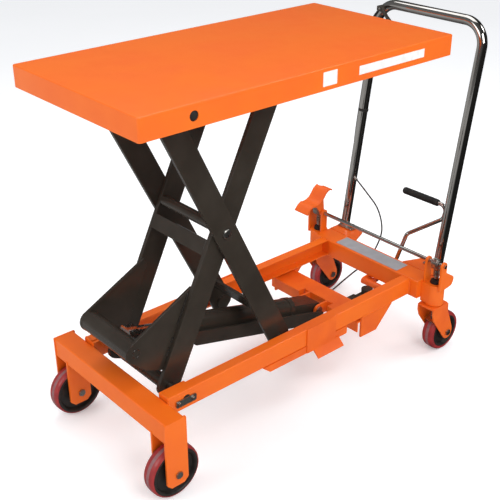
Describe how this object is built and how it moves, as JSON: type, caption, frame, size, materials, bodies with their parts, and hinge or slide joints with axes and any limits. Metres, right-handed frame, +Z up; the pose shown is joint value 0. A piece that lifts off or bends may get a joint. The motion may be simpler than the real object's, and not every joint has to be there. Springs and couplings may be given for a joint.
{
  "type": "scissor lift table",
  "caption": "Orange mobile scissor lift table, raised on black crossed arms by a hydraulic ram, with a chromed push handle, fixed front wheels, braked swivel casters and a foot pump.",
  "frame": {"origin": "on the floor, below the middle of the overall box", "axes": "+X towards the push handle, +Z up, -Y the near side"},
  "size_m": [1.2769, 0.58, 1.0234],
  "materials": {
    "orange": "gloss powder coat",
    "black": "gloss black enamel",
    "chrome": "polished",
    "zinc": "zinc plated",
    "steel": "ground",
    "tread": "cast polyurethane",
    "rubber": "matt",
    "grey": "satin"
  },
  "bodies": {
    "chassis": {"rail_near": "orange", "rail_far": "orange", "shaft_keeper_near": "zinc", "shaft_keeper_far": "zinc", "side_bracket_near": "orange", "side_bracket_far": "orange", "front_beam": "orange", "front_axle_near": "zinc", "front_axle_far": "zinc", "mid_channel": "orange", "ram_anchor_bracket": "orange", "ram_anchor_pin": "zinc", "rear_beam": "orange", "blank_plate": "grey", "caster_housing_near": "orange", "caster_housing_far": "orange", "base_pivot_shaft": "black", "handle_bracket_near": "orange", "handle_bracket_far": "orange", "handle_tube": "chrome", "pump_body": "black", "release_cable": "rubber"},
    "inner_arms": {"inner_arm_near": "black", "inner_arm_far": "black", "ram_cradle": "black", "tie_tube": "black", "cross_flat": "black", "centre_pin_near": "zinc", "centre_pin_far": "zinc"},
    "outer_arms": {"outer_arm_near": "black", "outer_arm_far": "black", "lower_cross_plate": "black"},
    "lift_platform": {"platform": "orange", "roller_guide_near": "orange", "roller_guide_far": "orange", "platform_pin_near": "zinc", "platform_pin_far": "zinc"},
    "ram": {"ram_cylinder": "black", "ram_side_bars": "black"},
    "ram_piston": {"ram_rod": "steel"},
    "brake": {"brake_shaft": "chrome", "brake_pedal": "orange"},
    "foot_pump": {"pump_pedal": "chrome", "pedal_grip": "rubber"},
    "pump_plunger": {"pump_piston": "steel"},
    "hand_release": {"release_lever": "black"},
    "swivel_near": {"caster_fork_near": "orange", "caster_axle_near": "zinc"},
    "rear_wheel_near": {"caster_wheel_near": "tread"},
    "fixed_wheel_near": {"front_wheel_near": "tread"},
    "plunger_near": {"brake_plunger_near": "steel"},
    "lower_roller_near": {"rail_roller_near": "steel"},
    "upper_roller_near": {"guide_roller_near": "steel"},
    "swivel_far": {"caster_fork_far": "orange", "caster_axle_far": "zinc"},
    "rear_wheel_far": {"caster_wheel_far": "tread"},
    "fixed_wheel_far": {"front_wheel_far": "tread"},
    "plunger_far": {"brake_plunger_far": "steel"},
    "lower_roller_far": {"rail_roller_far": "steel"},
    "upper_roller_far": {"guide_roller_far": "steel"}
  },
  "joints": [
    {"name": "lift", "type": "hinge", "parent": "chassis", "child": "inner_arms", "pos_m": [-0.47902, 0, 0.2285], "axis": [0, 1, 0], "range_deg": [0, 51.39]},
    {"name": "scissor", "type": "hinge", "parent": "inner_arms", "child": "outer_arms", "pos_m": [-0.29163, 0, 0.61219], "axis": [0, 1, 0], "range_deg": [-102.78, 0]},
    {"name": "platform_level", "type": "hinge", "parent": "outer_arms", "child": "lift_platform", "pos_m": [-0.47902, 0, 0.99587], "axis": [0, 1, 0], "range_deg": [0, 51.39]},
    {"name": "ram_swing", "type": "hinge", "parent": "chassis", "child": "ram", "pos_m": [0.14648, 0, 0.172], "axis": [0, 1, 0], "range_deg": [0, 5.7]},
    {"name": "ram_stroke", "type": "slide", "parent": "ram", "child": "ram_piston", "axis": [-0.9663, 0, 0.2573], "range_m": [-0.1215, 0]},
    {"name": "brake", "type": "hinge", "parent": "chassis", "child": "brake", "pos_m": [0.42948, 0, 0.3205], "axis": [0, -1, 0], "range_deg": [0, 15]},
    {"name": "pump_pedal", "type": "hinge", "parent": "chassis", "child": "foot_pump", "pos_m": [0.37448, 0, 0.183], "axis": [0, 1, 0], "range_deg": [0, 18], "stiffness_Nm_per_rad": 20, "springref_deg": -17.19},
    {"name": "pump_stroke", "type": "slide", "parent": "chassis", "child": "pump_plunger", "axis": [0, 0, 1], "range_m": [0, 0.0187]},
    {"name": "release_lever", "type": "hinge", "parent": "chassis", "child": "hand_release", "pos_m": [0.59203, 0.17, 0.991], "axis": [1, 0, 0], "range_deg": [0, 20], "stiffness_Nm_per_rad": 0.05, "springref_deg": -28.65},
    {"name": "front_wheel_near", "type": "hinge", "parent": "chassis", "child": "fixed_wheel_near", "pos_m": [-0.56352, -0.2285, 0.075], "axis": [0, 1, 0], "continuous": true},
    {"name": "swivel_near", "type": "hinge", "parent": "chassis", "child": "swivel_near", "pos_m": [0.43748, -0.2525, 0.18], "axis": [0, 0, 1], "continuous": true},
    {"name": "rear_wheel_near", "type": "hinge", "parent": "swivel_near", "child": "rear_wheel_near", "pos_m": [0.48348, -0.2525, 0.0655], "axis": [0, 1, 0], "continuous": true},
    {"name": "brake_push_near", "type": "slide", "parent": "swivel_near", "child": "plunger_near", "axis": [0, 0, -1], "range_m": [0, 0.0024]},
    {"name": "lower_roller_near", "type": "hinge", "parent": "outer_arms", "child": "lower_roller_near", "pos_m": [-0.10424, -0.172, 0.2285], "axis": [0, 1, 0], "continuous": true},
    {"name": "upper_roller_near", "type": "hinge", "parent": "inner_arms", "child": "upper_roller_near", "pos_m": [-0.10424, -0.159, 0.99587], "axis": [0, 1, 0], "continuous": true},
    {"name": "front_wheel_far", "type": "hinge", "parent": "chassis", "child": "fixed_wheel_far", "pos_m": [-0.56352, 0.2285, 0.075], "axis": [0, 1, 0], "continuous": true},
    {"name": "swivel_far", "type": "hinge", "parent": "chassis", "child": "swivel_far", "pos_m": [0.43748, 0.2525, 0.18], "axis": [0, 0, 1], "continuous": true},
    {"name": "rear_wheel_far", "type": "hinge", "parent": "swivel_far", "child": "rear_wheel_far", "pos_m": [0.48348, 0.2525, 0.0655], "axis": [0, 1, 0], "continuous": true},
    {"name": "brake_push_far", "type": "slide", "parent": "swivel_far", "child": "plunger_far", "axis": [0, 0, -1], "range_m": [0, 0.0024]},
    {"name": "lower_roller_far", "type": "hinge", "parent": "outer_arms", "child": "lower_roller_far", "pos_m": [-0.10424, 0.172, 0.2285], "axis": [0, 1, 0], "continuous": true},
    {"name": "upper_roller_far", "type": "hinge", "parent": "inner_arms", "child": "upper_roller_far", "pos_m": [-0.10424, 0.159, 0.99587], "axis": [0, 1, 0], "continuous": true}
  ],
  "couplings": [
    {"joint": "scissor", "follows": "lift", "ratio": -2},
    {"joint": "platform_level", "follows": "lift", "ratio": 1},
    {"joint": "ram_swing", "follows": "lift", "ratio": 0.109},
    {"joint": "ram_stroke", "follows": "lift", "m_per_rad": -0.135},
    {"joint": "pump_stroke", "follows": "pump_pedal", "m_per_rad": 0.0589},
    {"joint": "brake_push_near", "follows": "brake", "m_per_rad": 0.009},
    {"joint": "brake_push_far", "follows": "brake", "m_per_rad": 0.009}
  ]
}
